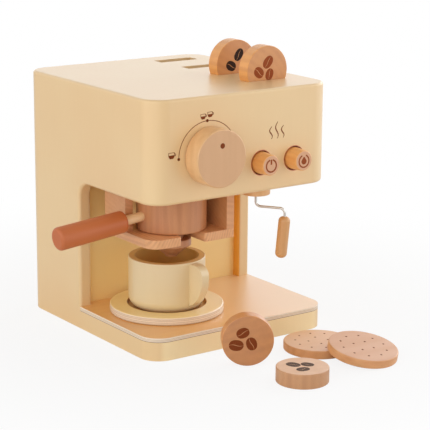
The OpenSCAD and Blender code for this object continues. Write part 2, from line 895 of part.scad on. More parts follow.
module portafilter_grip() {
    color(terracotta) at_neck() difference() {
        translate([0, 0, grip_start]) rotate_extrude() {
            near_r = grip_d / 2;
            far_r = grip_end_d / 2;
            polygon([[0, grip_edge], [near_r, grip_edge], [far_r, grip_l - grip_edge],
                [0, grip_l - grip_edge]]);
            square([near_r - grip_edge, grip_l]);
            square([far_r - grip_edge, grip_l]);
            intersection() {
                translate([near_r - grip_edge, grip_edge]) circle(grip_edge, $fn = 48);
                square([near_r, grip_edge]);
            }
            intersection() {
                translate([far_r - grip_edge, grip_l - grip_edge]) circle(grip_edge, $fn = 48);
                translate([0, grip_l - grip_edge]) square([far_r, grip_edge]);
            }
        }
        translate([0, 0, grip_start - 1])
            cylinder(d = neck_d + 2 * glue_fit, h = neck_in_grip + 1 + rest_gap);
    }
}

// ---------- cup and saucer ----------

module saucer() {
    recess_r = cup_d / 2 + recess_gap;
    color(pale_wood) translate([cup_x, cup_y, saucer_z]) difference() {
        turned_disc(saucer_d, saucer_t, 1.2);
        translate([0, 0, saucer_t - recess_t]) cylinder(r = recess_r, h = recess_t + 1);
    }
}

module cup_body() {
    r = cup_d / 2;
    inner_r = r - cup_wall;
    inner_edge = min(cup_edge, inner_r / 2);
    lip = 1;
    color(cream) translate([cup_x, cup_y, cup_z]) rotate_extrude() difference() {
        union() {
            intersection() {
                disc_profile(r, cup_h + cup_edge, cup_edge);
                square([r, cup_h - lip]);
            }
            translate([0, cup_edge]) square([r - lip, cup_h - cup_edge]);
            translate([r - lip, cup_h - lip]) circle(lip, $fn = 48);
        }
        translate([0, cup_floor]) {
            translate([0, inner_edge]) square([inner_r, cup_h]);
            square([inner_r - inner_edge, cup_h]);
            translate([inner_r - inner_edge, inner_edge]) circle(inner_edge);
        }
    }
}

// Solid ear: a tight curve above a wide one, cut to the cup's wall
module cup_ear() {
    reach = cup_d / 2 + ear_reach;
    top = cup_h - ear_top;
    low_z = top - ear_high_r - ear_straight;
    color(cream) translate([cup_x, cup_y, cup_z]) rotate([0, 0, -ear_turn]) difference() {
        translate([0, ear_t / 2, 0]) rotate([90, 0, 0]) linear_extrude(ear_t)
            intersection() {
                union() {
                    translate([reach - ear_high_r, top - ear_high_r]) circle(ear_high_r);
                    translate([0, low_z]) square([reach - ear_high_r, top - low_z]);
                    translate([0, low_z]) square([reach, ear_straight]);
                    intersection() {
                        translate([reach - ear_low_r, low_z]) circle(ear_low_r);
                        square([reach, low_z]);
                    }
                }
                translate([reach - ear_low_r, 0]) square([ear_low_r, top]);
            }
        translate([0, 0, -1]) cylinder(d = cup_d + 2 * glue_fit, h = cup_h + 2);
    }
}

// ---------- bean discs and biscuits ----------

module bean_disc() {
    turned_disc(disc_d, disc_t, disc_edge);
}

// Disc upright in a slot, its face to the front
module slot_disc(i) {
    color(beech) translate([slot_x, slot_y(i) + disc_t / 2, body_h + disc_lift])
        rotate([90, 0, 0]) bean_disc();
}

module slot_disc_front() slot_disc(0);
module slot_disc_rear() slot_disc(1);

module standing_disc() {
    color(beech) translate([-standing_x, front_y - standing_y, disc_d / 2])
        rotate([0, 0, -standing_turn]) rotate([0, 90, 0])
            translate([0, 0, -disc_t / 2]) bean_disc();
}

module lying_disc() {
    color(beech) translate([-lying_x, front_y - lying_y, 0]) bean_disc();
}

// Biscuit with an outer and an inner ring of dimples, each turned by its own angle
module biscuit(outer_turn, inner_turn) {
    difference() {
        turned_disc(biscuit_d, biscuit_t, 1);
        for (i = [0 : 9]) dimple(0.66, outer_turn + 36 * i);
        for (i = [0 : 3]) dimple(0.29, inner_turn + 90 * i);
    }
}

// Dimple at a fraction of the biscuit's radius
module dimple(fraction, turn) {
    rotate([0, 0, turn]) translate([fraction * biscuit_d / 2, 0, biscuit_t - dimple_t])
        cylinder(d = dimple_d, h = dimple_t + 1);
}

// Frame of the biscuits: origin under the flat one, +X towards the leaning one
module at_biscuits() {
    translate([biscuit_x, front_y - biscuit_y, 0]) rotate([0, 0, -biscuit_turn]) children();
}

module flat_biscuit() {
    color(beech) at_biscuits() biscuit(36, 52);
}

// The leaning biscuit's far edge is on the table and its underside on the flat one's rim
module leaning_biscuit() {
    low_x = biscuit_pitch + biscuit_d / 2;
    lean = atan((biscuit_t + rest_gap) / (low_x - biscuit_d / 2));
    color(beech) at_biscuits() translate([low_x, 0, 0]) rotate([0, lean, 0])
        translate([-biscuit_d / 2, 0, 0]) biscuit(28, 27);
}

base_board();
base_ply_top();
left_side_panel();
right_side_panel();
front_fascia();
back_panel();
top_panel();
head_floor_panel();
inner_back_wall();
casing_dowels();
bracket_shelf();
bracket_left_post();
bracket_right_post();
bracket_screws();
bracket_dowels();
button_guide_block();
guide_block_screws();
steam_wand_collar();
dial_knob();
dial_shaft();
dial_washer();
dial_screw();
power_button();
power_button_pin();
power_button_spring();
brew_button();
brew_button_pin();
brew_button_spring();
steam_wand_wire();
steam_wand_grip();
steam_wand_push_nut();
portafilter_spout();
spout_washer();
spout_screw();
portafilter_basket();
portafilter_neck();
portafilter_grip();
saucer();
cup_body();
cup_ear();
slot_disc_front();
slot_disc_rear();
standing_disc();
lying_disc();
flat_biscuit();
leaning_biscuit();
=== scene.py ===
import math
from collections import namedtuple

import bmesh
import bpy
from mathutils import Matrix, Vector


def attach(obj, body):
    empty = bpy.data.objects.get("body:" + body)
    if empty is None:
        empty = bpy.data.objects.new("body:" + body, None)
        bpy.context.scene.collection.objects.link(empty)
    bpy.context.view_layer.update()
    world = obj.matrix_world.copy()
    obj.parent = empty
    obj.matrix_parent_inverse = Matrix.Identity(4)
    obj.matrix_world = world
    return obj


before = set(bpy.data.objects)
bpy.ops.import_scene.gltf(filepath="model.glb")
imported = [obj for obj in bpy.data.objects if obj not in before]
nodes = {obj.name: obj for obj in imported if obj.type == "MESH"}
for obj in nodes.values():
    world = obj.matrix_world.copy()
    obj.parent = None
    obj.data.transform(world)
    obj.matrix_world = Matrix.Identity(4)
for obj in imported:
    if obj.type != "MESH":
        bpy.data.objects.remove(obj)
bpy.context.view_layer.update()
MM = 0.001

Box = namedtuple("Box", "low high mid")


def box_of(name):
    """The lowest and highest corner and the middle of a CAD piece, in millimetres."""
    corners = [nodes[name].matrix_world @ Vector(c) for c in nodes[name].bound_box]
    low = Vector([min(c[i] for c in corners) for i in range(3)]) / MM
    high = Vector([max(c[i] for c in corners) for i in range(3)]) / MM
    return Box(low, high, (low + high) / 2)


# Pieces that the prints and the tones by place are set out from
fascia = box_of("front_fascia")
knob = box_of("dial_knob")
power = box_of("power_button")
brew = box_of("brew_button")
cup = box_of("cup_body")
ply_top = box_of("base_ply_top")
saucer = box_of("saucer")
right_side = box_of("right_side_panel")
cup_r = (cup.high.x - cup.low.x) / 2


def rgb(r, g, b):
    """Linear colour from sRGB values of 0 to 255."""
    def lin(c):
        c /= 255
        return c / 12.92 if c <= 0.04045 else ((c + 0.055) / 1.055) ** 2.4
    return (lin(r), lin(g), lin(b), 1.0)


# ---------- camera ----------

def make_camera():
    """The photograph's camera, as fitted to the corners in it."""
    eye = Vector((-0.80162, -1.18558, 0.45193))
    right = Vector((0.81497, -0.57945, 0.00773))
    forward = Vector((0.56386, 0.78983, -0.24133))
    up = right.cross(forward)
    data = bpy.data.cameras.new("camera")
    data.sensor_width = 36
    data.lens = 133.865
    data.clip_start, data.clip_end = 0.05, 20
    cam = bpy.data.objects.new("camera", data)
    bpy.context.scene.collection.objects.link(cam)
    turn = Matrix((right, up, -forward)).transposed()
    cam.matrix_world = Matrix.Translation(eye) @ turn.to_4x4()
    bpy.context.scene.camera = cam


# ---------- materials ----------

class Graph:
    """A material's nodes, added one by one."""

    def __init__(self, name):
        self.mat = bpy.data.materials.new(name)
        self.mat.use_nodes = True
        self.tree = self.mat.node_tree
        self.tree.nodes.clear()
        self.out = self.tree.nodes.new("ShaderNodeOutputMaterial")
        self.bsdf = self.tree.nodes.new("ShaderNodeBsdfPrincipled")
        self.tree.links.new(self.bsdf.outputs[0], self.out.inputs[0])
        coord = self.tree.nodes.new("ShaderNodeTexCoord")
        self.place, self.normal = coord.outputs["Object"], coord.outputs["Normal"]

    def put(self, socket, value):
        """Link an output to a socket, or set its value."""
        if isinstance(value, bpy.types.NodeSocket):
            self.tree.links.new(value, socket)
        else:
            socket.default_value = value

    def add(self, kind, inputs, out=0, **settings):
        """A node with its inputs and settings. It returns one of the node's outputs."""
        node = self.tree.nodes.new("ShaderNode" + kind)
        for k, v in settings.items():
            setattr(node, k, v)
        for k, v in inputs.items():
            self.put(node.inputs[k], v)
        return node.outputs[out]

    def surface(self, **inputs):
        """Set the inputs of the material's shader, with _ for a space in a name."""
        for k, v in inputs.items():
            self.put(self.bsdf.inputs[k.replace("_", " ")], v)

    def mapped(self, vector, scale=(1, 1, 1), turn=(0, 0, 0), shift=(0, 0, 0)):
        return self.add("Mapping", {"Vector": vector, "Scale": scale, "Rotation": turn,
                                    "Location": shift})

    def noise(self, vector, scale, detail, rough=0.5, out="Fac", warp=0.0):
        return self.add("TexNoise", {"Vector": vector, "Scale": scale, "Detail": detail,
                                     "Roughness": rough, "Distortion": warp}, out=out)

    def math(self, operation, a, b=0.0, clamp=False):
        return self.add("Math", {0: a, 1: b}, operation=operation, use_clamp=clamp)

    def span(self, value, low, high, to_low=0.0, to_high=1.0):
        """A smooth step from one value to another while the input goes from low to high."""
        return self.add("MapRange", {"Value": value, "From Min": low, "From Max": high,
                                     "To Min": to_low, "To Max": to_high},
                        interpolation_type="SMOOTHSTEP")

    def mix(self, factor, a, b):
        return self.add("Mix", {0: factor, 6: a, 7: b}, out=2, data_type="RGBA",
                        blend_type="MIX")

    def vmath(self, operation, a, b=(0, 0, 0), out=0):
        return self.add("VectorMath", {0: a, 1: b}, out=out, operation=operation)

    def split(self, vector):
        node = self.tree.nodes.new("ShaderNodeSeparateXYZ")
        self.put(node.inputs[0], vector)
        return node.outputs

    def join(self, x, y, z):
        return self.add("CombineXYZ", {0: x, 1: y, 2: z})

    def bump(self, height, distance, strength):
        return self.add("Bump", {"Height": height, "Distance": distance, "Strength": strength})


def shade(colour, k):
    """A colour made k times as bright."""
    return tuple(c * k for c in colour[:3]) + (1.0,)


# Tones by place are painted light and shade: they stand in for the light that bounces between the
# pieces in the photograph.

def painted_light_by_facing(g, tone, face):
    """Painted light and shade: the tone, with another on the faces towards a direction:
    (direction, share, colour).
    """
    towards = g.math("ABSOLUTE", g.vmath("DOT_PRODUCT", g.normal, face[0], out="Value"))
    return g.mix(g.math("MULTIPLY", g.span(towards, 0.85, 0.99), face[1]), tone, face[2])


def painted_light_within(g, tone, inside):
    """Painted light and shade: the tone, with another inside a distance: (how it is measured,
    distance, colour).
    """
    measure, reach, colour = inside
    return g.mix(g.span(measure(g), reach + 0.3 * MM, reach), tone, colour)


def in_right(g):
    """Distance to the right of the plane that halves the casing; far off on its left."""
    x = g.split(g.place)[0]
    return g.math("ADD", x, g.math("LESS_THAN", x, 0.0))


def from_cup_axis(g):
    """Distance from the axis of the cup and its saucer."""
    away = g.vmath("SUBTRACT", g.place, (cup.mid.x * MM, cup.mid.y * MM, 0))
    return g.vmath("LENGTH", g.vmath("MULTIPLY", away, (1, 1, 0)), out="Value")


def in_cup(g):
    """The same for the cup's inside: far off below its inner floor, and nearer on its rim."""
    rim_h, rim_w, floor_t = 1.5 * MM, 4.6 * MM, 5 * MM
    z = g.split(g.place)[2]
    under = g.math("LESS_THAN", z, cup.low.z * MM + floor_t)
    rim = g.math("MULTIPLY", g.math("GREATER_THAN", z, cup.high.z * MM - rim_h), rim_w)
    return g.math("ADD", g.math("SUBTRACT", from_cup_axis(g), rim), under)


def from_button_axes(g):
    """Distance from the nearer axis of the two buttons."""
    middle = (power.mid.x + brew.mid.x) / 2 * MM
    half_pitch = (brew.mid.x - power.mid.x) / 2 * MM
    x, _, z = g.split(g.place)
    aside = g.math("SUBTRACT", g.math("ABSOLUTE", g.math("SUBTRACT", x, middle)), half_pitch)
    up = g.math("SUBTRACT", z, power.mid.z * MM)
    return g.vmath("LENGTH", g.join(aside, 0.0, up), out="Value")


def paint(name, colour, warm, rough=0.38, grain=(1, 1, 0.06), relief=1.0, inside=None,
          face=None, coat=0.8):
    """Sprayed paint on wood: a broad drift of tone, a trace of grain and a fine texture.
    inside and face give it painted light and shade by place, as in painted_light_within and
    painted_light_by_facing."""
    g = Graph(name)
    drift = g.noise(g.place, 9, 2)
    cloth = g.noise(g.mapped(g.place, scale=grain), 420, 4, 0.6)
    tone = g.mix(g.span(drift, 0.3, 0.7), colour, warm)
    if inside:
        tone = painted_light_within(g, tone, inside)
    if face:
        tone = painted_light_by_facing(g, tone, face)
    tone = g.mix(g.math("MULTIPLY", g.span(cloth, 0.35, 0.75), 0.035), tone, shade(warm, 0.8))
    speck = g.noise(g.place, 1500, 1)
    height = g.math("ADD", g.math("MULTIPLY", speck, 0.5), g.math("MULTIPLY", cloth, 0.5))
    g.surface(Base_Color=tone, Roughness=g.span(cloth, 0.2, 0.8, rough - 0.03, rough + 0.04),
              Normal=g.bump(height, 0.00003 * relief, 0.4), Specular_IOR_Level=0.6,
              Coat_Weight=coat, Coat_Roughness=0.36)
    return g.mat


def wood(name, light, dark, grain, pith, ring, rings, streaks, seed, blush=None, coarse=1.0,
         face=None, coat=0.6):
    """Solid wood: growth rings round a pith line, streaks along the grain, patches and flecks.
    grain is the grain's axis or a turn to it, pith the place of the rings' middle and ring
    their spacing, in metres. face gives it painted light and shade on the faces towards a
    direction, as in painted_light_by_facing."""
    g = Graph(name)
    turns = {"z": (0, 0, 0), "x": (0, math.pi / 2, 0), "y": (math.pi / 2, 0, 0)}
    turn = turns[grain] if isinstance(grain, str) else grain
    along = g.mapped(g.place, turn=turn, shift=(pith[0], pith[1], seed))
    wander = g.noise(g.mapped(along, scale=(1, 1, 0.22)), 24, 2, out="Color")
    wander = g.vmath("SCALE", g.vmath("SUBTRACT", wander, (0.5, 0.5, 0.5)))
    wander.node.inputs["Scale"].default_value = 0.011
    bent = g.vmath("ADD", along, wander)
    away = g.vmath("LENGTH", g.vmath("MULTIPLY", bent, (1, 1, 0)), out="Value")
    wave = g.math("SINE", g.math("MULTIPLY", away, 2 * math.pi / ring))
    uneven = g.noise(g.mapped(bent, scale=(1, 1, 0.05)), 95, 2)
    bands = g.math("MULTIPLY", g.span(wave, -0.8, 1.0), g.span(uneven, 0.3, 0.7, 0.25, 1.0))
    streak = g.noise(g.mapped(bent, scale=(1, 1, 0.045), shift=(0, 0, seed)), 190 * coarse, 3, 0.5)
    streak = g.span(streak, 0.3, 0.72)
    amount = g.math("ADD", g.math("MULTIPLY", bands, rings), g.math("MULTIPLY", streak, streaks),
                    clamp=True)
    tone = g.mix(amount, light, dark)
    patch = g.noise(g.mapped(bent, scale=(1, 1, 0.3)), 38, 2)
    tone = g.mix(g.math("MULTIPLY", g.span(patch, 0.35, 0.7), 0.5), tone,
                 blush or shade(dark, 1.1))
    fleck = g.noise(g.mapped(along, scale=(1, 1, 0.14)), 1900, 1)
    fleck = g.span(fleck, 0.62, 0.76)
    tone = g.mix(g.math("MULTIPLY", fleck, 0.22), tone, shade(dark, 0.6))
    if face:
        tone = painted_light_by_facing(g, tone, face)
    height = g.math("SUBTRACT", g.math("MULTIPLY", streak, -0.4), fleck)
    g.surface(Base_Color=tone, Roughness=g.span(streak, 0, 1, 0.4, 0.5),
              Normal=g.bump(height, 0.00004, 0.5), Specular_IOR_Level=0.45,
              Coat_Weight=coat, Coat_Roughness=0.36)
    return g.mat


def plywood(name, light, dark, warm, pale, crossed, bottom, plies, thickness, painted_sheen, foot_line_and_shadow,
            seed=0.0, inside=None):
    """Birch plywood: a long-grain face, and edges of light and dark plies with thin glue lines.
    Towards the right its face takes a painted sheen, given as painted_sheen: (x where it starts,
    x where it ends, share, colour). A dark line at its foot, given as foot_line_and_shadow:
    (height, colour), is a dark joint, and on the saucer a painted contact shadow as well.
    inside gives it painted shade by place, as in painted_light_within."""
    g = Graph(name)
    x, _, z = g.split(g.place)
    face = g.mapped(g.place, scale=(0.05, 1, 1), shift=(seed, seed, 0))
    streak = g.span(g.noise(face, 190, 4, 0.5, warp=0.4), 0.3, 0.75)
    figure = g.span(g.noise(g.mapped(g.place, scale=(0.3, 1, 1)), 30, 2), 0.3, 0.7)
    top = g.mix(g.math("MULTIPLY", streak, 0.3), light, dark)
    top = g.mix(g.math("MULTIPLY", figure, 0.4), top, warm)
    pores = g.span(g.noise(g.mapped(g.place, scale=(0.12, 1, 1)), 1500, 1), 0.62, 0.74)
    top = g.mix(g.math("MULTIPLY", pores, 0.15), top, shade(dark, 0.6))
    # Painted sheen towards the right
    top = g.mix(g.span(x, painted_sheen[0], painted_sheen[1], 0, painted_sheen[2]), top, painted_sheen[3])
    wave = g.math("MULTIPLY", g.math("SUBTRACT", g.noise(g.place, 45, 2), 0.5), 0.3)
    level = g.math("ADD", g.math("DIVIDE", g.math("SUBTRACT", z, bottom), thickness / plies), wave)
    part = g.math("FRACT", level)
    odd = g.math("MODULO", g.math("FLOOR", level), 2.0)
    seam = g.math("MAXIMUM", g.span(part, 0.86, 0.97), g.span(part, 0.14, 0.03))
    inner = g.math("MULTIPLY", g.span(level, 0.3, 0.6), g.span(level, plies - 0.3, plies - 0.6))
    seam = g.math("MULTIPLY", seam, inner)
    ends = g.span(g.noise(g.mapped(g.place, scale=(1, 1, 0.4)), 900, 2), 0.35, 0.7)
    ply = g.mix(g.math("MULTIPLY", odd, 0.25), pale, g.mix(ends, crossed, shade(crossed, 0.8)))
    ply = g.mix(g.math("MULTIPLY", seam, 0.75), ply, shade(crossed, 0.55))
    side = g.span(g.math("ABSOLUTE", g.split(g.normal)[2]), 0.8, 0.5)
    # Dark line at the foot: a dark joint, and painted contact shadow
    ply = g.mix(g.span(z, bottom + foot_line_and_shadow[0], bottom + foot_line_and_shadow[0] / 2), ply, foot_line_and_shadow[1])
    tone = g.mix(side, top, ply)
    if inside:
        tone = painted_light_within(g, tone, inside)
    g.surface(Base_Color=tone, Roughness=g.span(side, 0, 1, 0.45, 0.6),
              Normal=g.bump(g.math("ADD", streak, g.math("MULTIPLY", seam, side)), 0.00004, 0.4),
              Specular_IOR_Level=0.5, Coat_Weight=1.0, Coat_Roughness=0.34)
    return g.mat


def wire(name):
    """Drawn steel with fine scratches along it."""
    g = Graph(name)
    scratch = g.noise(g.mapped(g.place, scale=(1, 1, 0.1)), 2500, 3)
    broad = g.noise(g.place, 90, 2)
    g.surface(Base_Color=g.mix(broad, (0.56, 0.55, 0.53, 1), (0.70, 0.69, 0.66, 1)),
              Metallic=1.0, Roughness=g.span(scratch, 0.3, 0.7, 0.28, 0.44),
              Normal=g.bump(scratch, 0.00002, 0.4))
    return g.mat


def ink(name, colour, thin):
    """Printed ink, a little uneven where the wood drinks it."""
    g = Graph(name)
    blot = g.noise(g.place, 1100, 3, 0.6)
    drift = g.noise(g.place, 150, 2)
    fade = g.math("MULTIPLY", g.span(blot, 0.4, 0.75), g.span(drift, 0.25, 0.75, 0.25, 0.6))
    g.surface(Base_Color=g.mix(fade, colour, thin), Roughness=g.span(blot, 0.3, 0.7, 0.5, 0.62),
              Specular_IOR_Level=0.2)
    return g.mat


cream = rgb(241, 208, 155)
cream_warm = rgb(239, 202, 148)
casing_paint = paint("casing_paint", colour=cream, warm=cream_warm)
# Painted light: the front and back faces of the base are lighter than its sides.
base_paint_front_light = paint(
    "base_paint_front_light", colour=cream, warm=cream_warm, face=((0, 1, 0), 1.0, rgb(255, 229, 178)))
# Painted shade: a reddish brown ring round each button hole.
fascia_paint_hole_shade = paint(
    "fascia_paint_hole_shade", colour=cream, warm=cream_warm,
    inside=(from_button_axes, 11.2 * MM, rgb(188, 90, 38)))
# Painted bounce light: orange on the inner face of the right side panel.
side_paint_bounce_light = paint(
    "side_paint_bounce_light", colour=cream, warm=cream_warm,
    inside=(in_right, (right_side.low.x + 1.3) * MM, rgb(244, 170, 48)))
# Painted bounce light: the inner back wall and the underside of the head are warmer and brighter
# than the casing.
wall_paint_bounce_light = paint("wall_paint_bounce_light", colour=rgb(255, 223, 150), warm=rgb(254, 218, 144))
# Painted shade inside the cup, and a painted reflection on its rim.
cup_paint_inner_shade = paint(
    "cup_paint_inner_shade", colour=rgb(235, 212, 167), warm=rgb(233, 208, 158), rough=0.34, grain=(1, 1, 1),
    relief=0.7, inside=(in_cup, (cup_r - 5.4) * MM, rgb(221, 171, 87)))
grip_paint = paint(
    "grip_paint", colour=rgb(199, 107, 52), warm=rgb(192, 100, 47), rough=0.5, grain=(0.08, 1, 1),
    relief=1.3, coat=0.1)
basket_wood = wood(
    "basket_wood", light=rgb(206, 144, 95), dark=rgb(179, 115, 72), blush=rgb(200, 135, 90),
    grain="z", pith=(0.055, 0.09), ring=0.0062, rings=0.45, streaks=0.4, seed=0.13)
# Painted shade: the front face of the dial is darker than its side.
knob_wood = wood(
    "knob_wood", light=rgb(240, 191, 136), dark=rgb(222, 169, 112), blush=rgb(228, 181, 130),
    grain="z", pith=(0.02, 0.15), ring=0.0085, rings=0.3, streaks=0.35, seed=0.41,
    face=((0, 1, 0), 0.6, rgb(210, 162, 123)))
# Painted light and shade: the front faces are duller than the sides, whose orange is painted
# bounce light.
button_wood = wood(
    "button_wood", light=rgb(249, 183, 105), dark=rgb(227, 150, 75), blush=rgb(239, 166, 89),
    grain="y", pith=(0.03, -0.12), ring=0.004, rings=0.25, streaks=0.35, seed=0.7,
    face=((0, 1, 0), 0.8, rgb(216, 165, 132)))
shelf_wood = wood(
    "shelf_wood", light=rgb(239, 179, 125), dark=rgb(175, 109, 66), blush=rgb(226, 166, 114),
    grain="y", pith=(0.14, 0.147), ring=0.0028, rings=0.42, streaks=0.15, seed=0.2)
# Painted shade: the faces towards the sides are darker.
post_wood = wood(
    "post_wood", light=rgb(230, 167, 116), dark=rgb(193, 125, 77), blush=rgb(215, 158, 110),
    grain=(0.35, 1.3, 0.2), pith=(0.06, -0.02), ring=0.0036, rings=0.4, streaks=0.3, seed=0.55,
    face=((1, 0, 0), 0.5, rgb(203, 145, 92)))
# Painted shade: the front and back faces are darker than the rims.
disc_wood = wood(
    "disc_wood", light=rgb(248, 178, 98), dark=rgb(216, 144, 77), blush=rgb(234, 160, 90),
    grain="y", pith=(-0.025, 0.21), ring=0.0065, rings=0.6, streaks=0.2, seed=0.9,
    face=((0, 1, 0), 0.5, rgb(189, 131, 95)))
# Painted shade: the two faces are darker than the rim.
standing_wood = wood(
    "standing_wood", light=rgb(232, 159, 91), dark=rgb(193, 125, 69), blush=rgb(209, 140, 85),
    grain=(math.pi / 2, 0, 0.53), pith=(0.0, 0.16), ring=0.008, rings=0.35, streaks=0.3, seed=0.15,
    face=((0.506, 0.863, 0), 0.5, rgb(181, 125, 87)))
# Painted light: the top and bottom faces are lighter than the rim.
lying_wood = wood(
    "lying_wood", light=rgb(214, 160, 112), dark=rgb(176, 120, 78), blush=rgb(204, 150, 108),
    grain="z", pith=(0.01, 0.25), ring=0.0065, rings=0.3, streaks=0.6, seed=0.33, coarse=0.45,
    face=((0, 0, 1), 0.6, rgb(245, 196, 152)))
# Painted light: the flat faces are lighter than the rim.
biscuit_wood = wood(
    "biscuit_wood", light=rgb(230, 170, 112), dark=rgb(204, 141, 84), blush=rgb(224, 158, 104),
    grain="x", pith=(0.03, 0.22), ring=0.007, rings=0.25, streaks=0.45, seed=0.62, coarse=0.6,
    coat=0.4, face=((0, 0, 1), 0.8, rgb(238, 189, 144)))
# Painted shade: its flat faces are darker than the flat biscuit's.
leaning_wood = wood(
    "leaning_wood", light=rgb(230, 172, 116), dark=rgb(204, 143, 88), blush=rgb(228, 158, 112),
    grain="x", pith=(0.05, 0.16), ring=0.007, rings=0.25, streaks=0.45, seed=0.27, coarse=0.6,
    coat=0.4, face=((0, 0, 1), 0.8, rgb(218, 163, 125)))
dowel_wood = wood(
    "dowel_wood", light=rgb(252, 219, 172), dark=rgb(230, 188, 138), grain="x", pith=(0.02, 0.02),
    ring=0.004, rings=0.25, streaks=0.4, seed=0.25)
wand_wood = wood(
    "wand_wood", light=rgb(223, 168, 108), dark=rgb(201, 144, 85), blush=rgb(209, 152, 94),
    grain="z", pith=(0.01, 0.1), ring=0.005, rings=0.25, streaks=0.35, seed=0.77)
# Painted light: a lighter copy of wand_wood for the collar under the head.
collar_wood_painted_light = wood(
    "collar_wood_painted_light", light=rgb(246, 200, 143), dark=rgb(224, 175, 117), blush=rgb(232, 183, 128),
    grain="z", pith=(0.02, 0.1), ring=0.005, rings=0.25, streaks=0.35, seed=0.6)
block_wood = wood(
    "block_wood", light=rgb(220, 178, 128), dark=rgb(190, 140, 92), grain="x", pith=(0.0, -0.2),
    ring=0.004, rings=0.4, streaks=0.5, seed=0.5)
# Painted sheen towards the right of the face, and a dark joint line at its foot.
base_ply = plywood(
    "base_ply", light=rgb(244, 184, 107), dark=rgb(228, 160, 82), warm=rgb(242, 175, 96),
    pale=rgb(248, 231, 208), crossed=rgb(208, 164, 118), bottom=ply_top.low.z * MM,
    thickness=(ply_top.high.z - ply_top.low.z) * MM, plies=3,
    painted_sheen=(-0.05, 0.07, 0.75, rgb(250, 219, 178)), foot_line_and_shadow=(0.0007, rgb(150, 102, 62)))
# Painted sheen towards the right, painted shade in the recess for the cup, and a painted contact
# shadow at its foot.
saucer_ply = plywood(
    "saucer_ply", light=rgb(254, 224, 152), dark=rgb(240, 199, 125), warm=rgb(250, 212, 137),
    pale=rgb(244, 222, 194), crossed=rgb(214, 184, 150), bottom=saucer.low.z * MM,
    thickness=(saucer.high.z - saucer.low.z) * MM, plies=5,
    painted_sheen=(-0.055, 0.015, 0.9, rgb(255, 240, 214)), foot_line_and_shadow=(0.0012, rgb(120, 76, 42)), seed=0.3,
    inside=(from_cup_axis, (cup_r + 1.3) * MM, rgb(204, 148, 80)))
steel = wire("steel")
brown_ink = ink("brown_ink", rgb(124, 54, 12), rgb(148, 78, 34))
amber_ink = ink("amber_ink", rgb(150, 70, 28), rgb(170, 94, 50))
black_ink = ink("black_ink", rgb(42, 22, 10), rgb(74, 52, 38))
# Painted sheen: a lighter copy of black_ink for the lying disc's beans.
black_ink_painted_sheen = ink("black_ink_painted_sheen", rgb(82, 60, 46), rgb(110, 84, 68))
# Painted shade for the biscuits' dimples.
dimple_shade = ink("dimple_shade", rgb(150, 88, 58), rgb(168, 108, 76))

FINISHES = {
    casing_paint: ["back_panel", "top_panel"],
    base_paint_front_light: ["base_board"],
    fascia_paint_hole_shade: ["front_fascia"],
    side_paint_bounce_light: ["left_side_panel", "right_side_panel"],
    wall_paint_bounce_light: ["inner_back_wall", "head_floor_panel"],
    base_ply: ["base_ply_top"],
    saucer_ply: ["saucer"],
    shelf_wood: ["bracket_shelf"],
    post_wood: ["bracket_left_post", "bracket_right_post"],
    knob_wood: ["dial_knob"],
    button_wood: ["power_button", "brew_button"],
    collar_wood_painted_light: ["steam_wand_collar"],
    wand_wood: ["steam_wand_grip"],
    basket_wood: ["portafilter_basket", "portafilter_spout"],
    grip_paint: ["portafilter_grip"],
    cup_paint_inner_shade: ["cup_body", "cup_ear"],
    disc_wood: ["slot_disc_front", "slot_disc_rear"],
    standing_wood: ["standing_disc"],
    lying_wood: ["lying_disc"],
    biscuit_wood: ["flat_biscuit"],
    leaning_wood: ["leaning_biscuit"],
    dowel_wood: ["portafilter_neck", "dial_shaft", "power_button_pin", "brew_button_pin"],
    block_wood: ["button_guide_block", "casing_dowels", "bracket_dowels"],
    steel: ["bracket_screws", "guide_block_screws", "dial_washer", "dial_screw",
            "power_button_spring", "brew_button_spring", "steam_wand_wire",
            "steam_wand_push_nut", "spout_washer", "spout_screw"],
}


def dress_nodes():
    """Give each CAD piece its material."""
    for mat, names in FINISHES.items():
        for name in names:
            mesh = nodes[name].data
            mesh.materials.clear()
            mesh.materials.append(mat)


# Width of the eased edges that a sander leaves, in millimetres
EASED = {"base_ply_top": 0.5, "bracket_shelf": 1.2, "bracket_left_post": 0.8,
         "bracket_right_post": 0.8, "cup_ear": 0.8}


def smooth_nodes():
    """Smooth the curves, keep the sharp edges, and ease those that the CAD leaves sharp."""
    for name, obj in nodes.items():
        for p in obj.data.polygons:
            p.use_smooth = True
        weld = obj.modifiers.new("weld", "WELD")
        weld.merge_threshold = 1e-6
        if name in EASED:
            bevel = obj.modifiers.new("eased", "BEVEL")
            bevel.width = EASED[name] * MM
            bevel.segments = 3
            bevel.limit_method = "ANGLE"
            bevel.angle_limit = math.radians(40)
        split = obj.modifiers.new("split", "EDGE_SPLIT")
        split.split_angle = math.radians(32)
        split.use_edge_sharp = False
        even = obj.modifiers.new("even", "WEIGHTED_NORMAL")
        even.keep_sharp = True
        even.weight = 50


# ---------- prints ----------

PRINT_T = 0.07 * MM


def turned(cx, cy, degrees):
    """A function that turns a point about the origin and moves it to a centre."""
    c, s = math.cos(math.radians(degrees)), math.sin(math.radians(degrees))
    return lambda x, y: (cx + x * c - y * s, cy + x * s + y * c)


def mesh_piece(name, bm, mat):
    """An object made from a finished mesh."""
    mesh = bpy.data.meshes.new(name)
    bm.to_mesh(mesh)
    bm.free()
    mesh.materials.append(mat)
    obj = bpy.data.objects.new(name, mesh)
    bpy.context.scene.collection.objects.link(obj)
    return obj


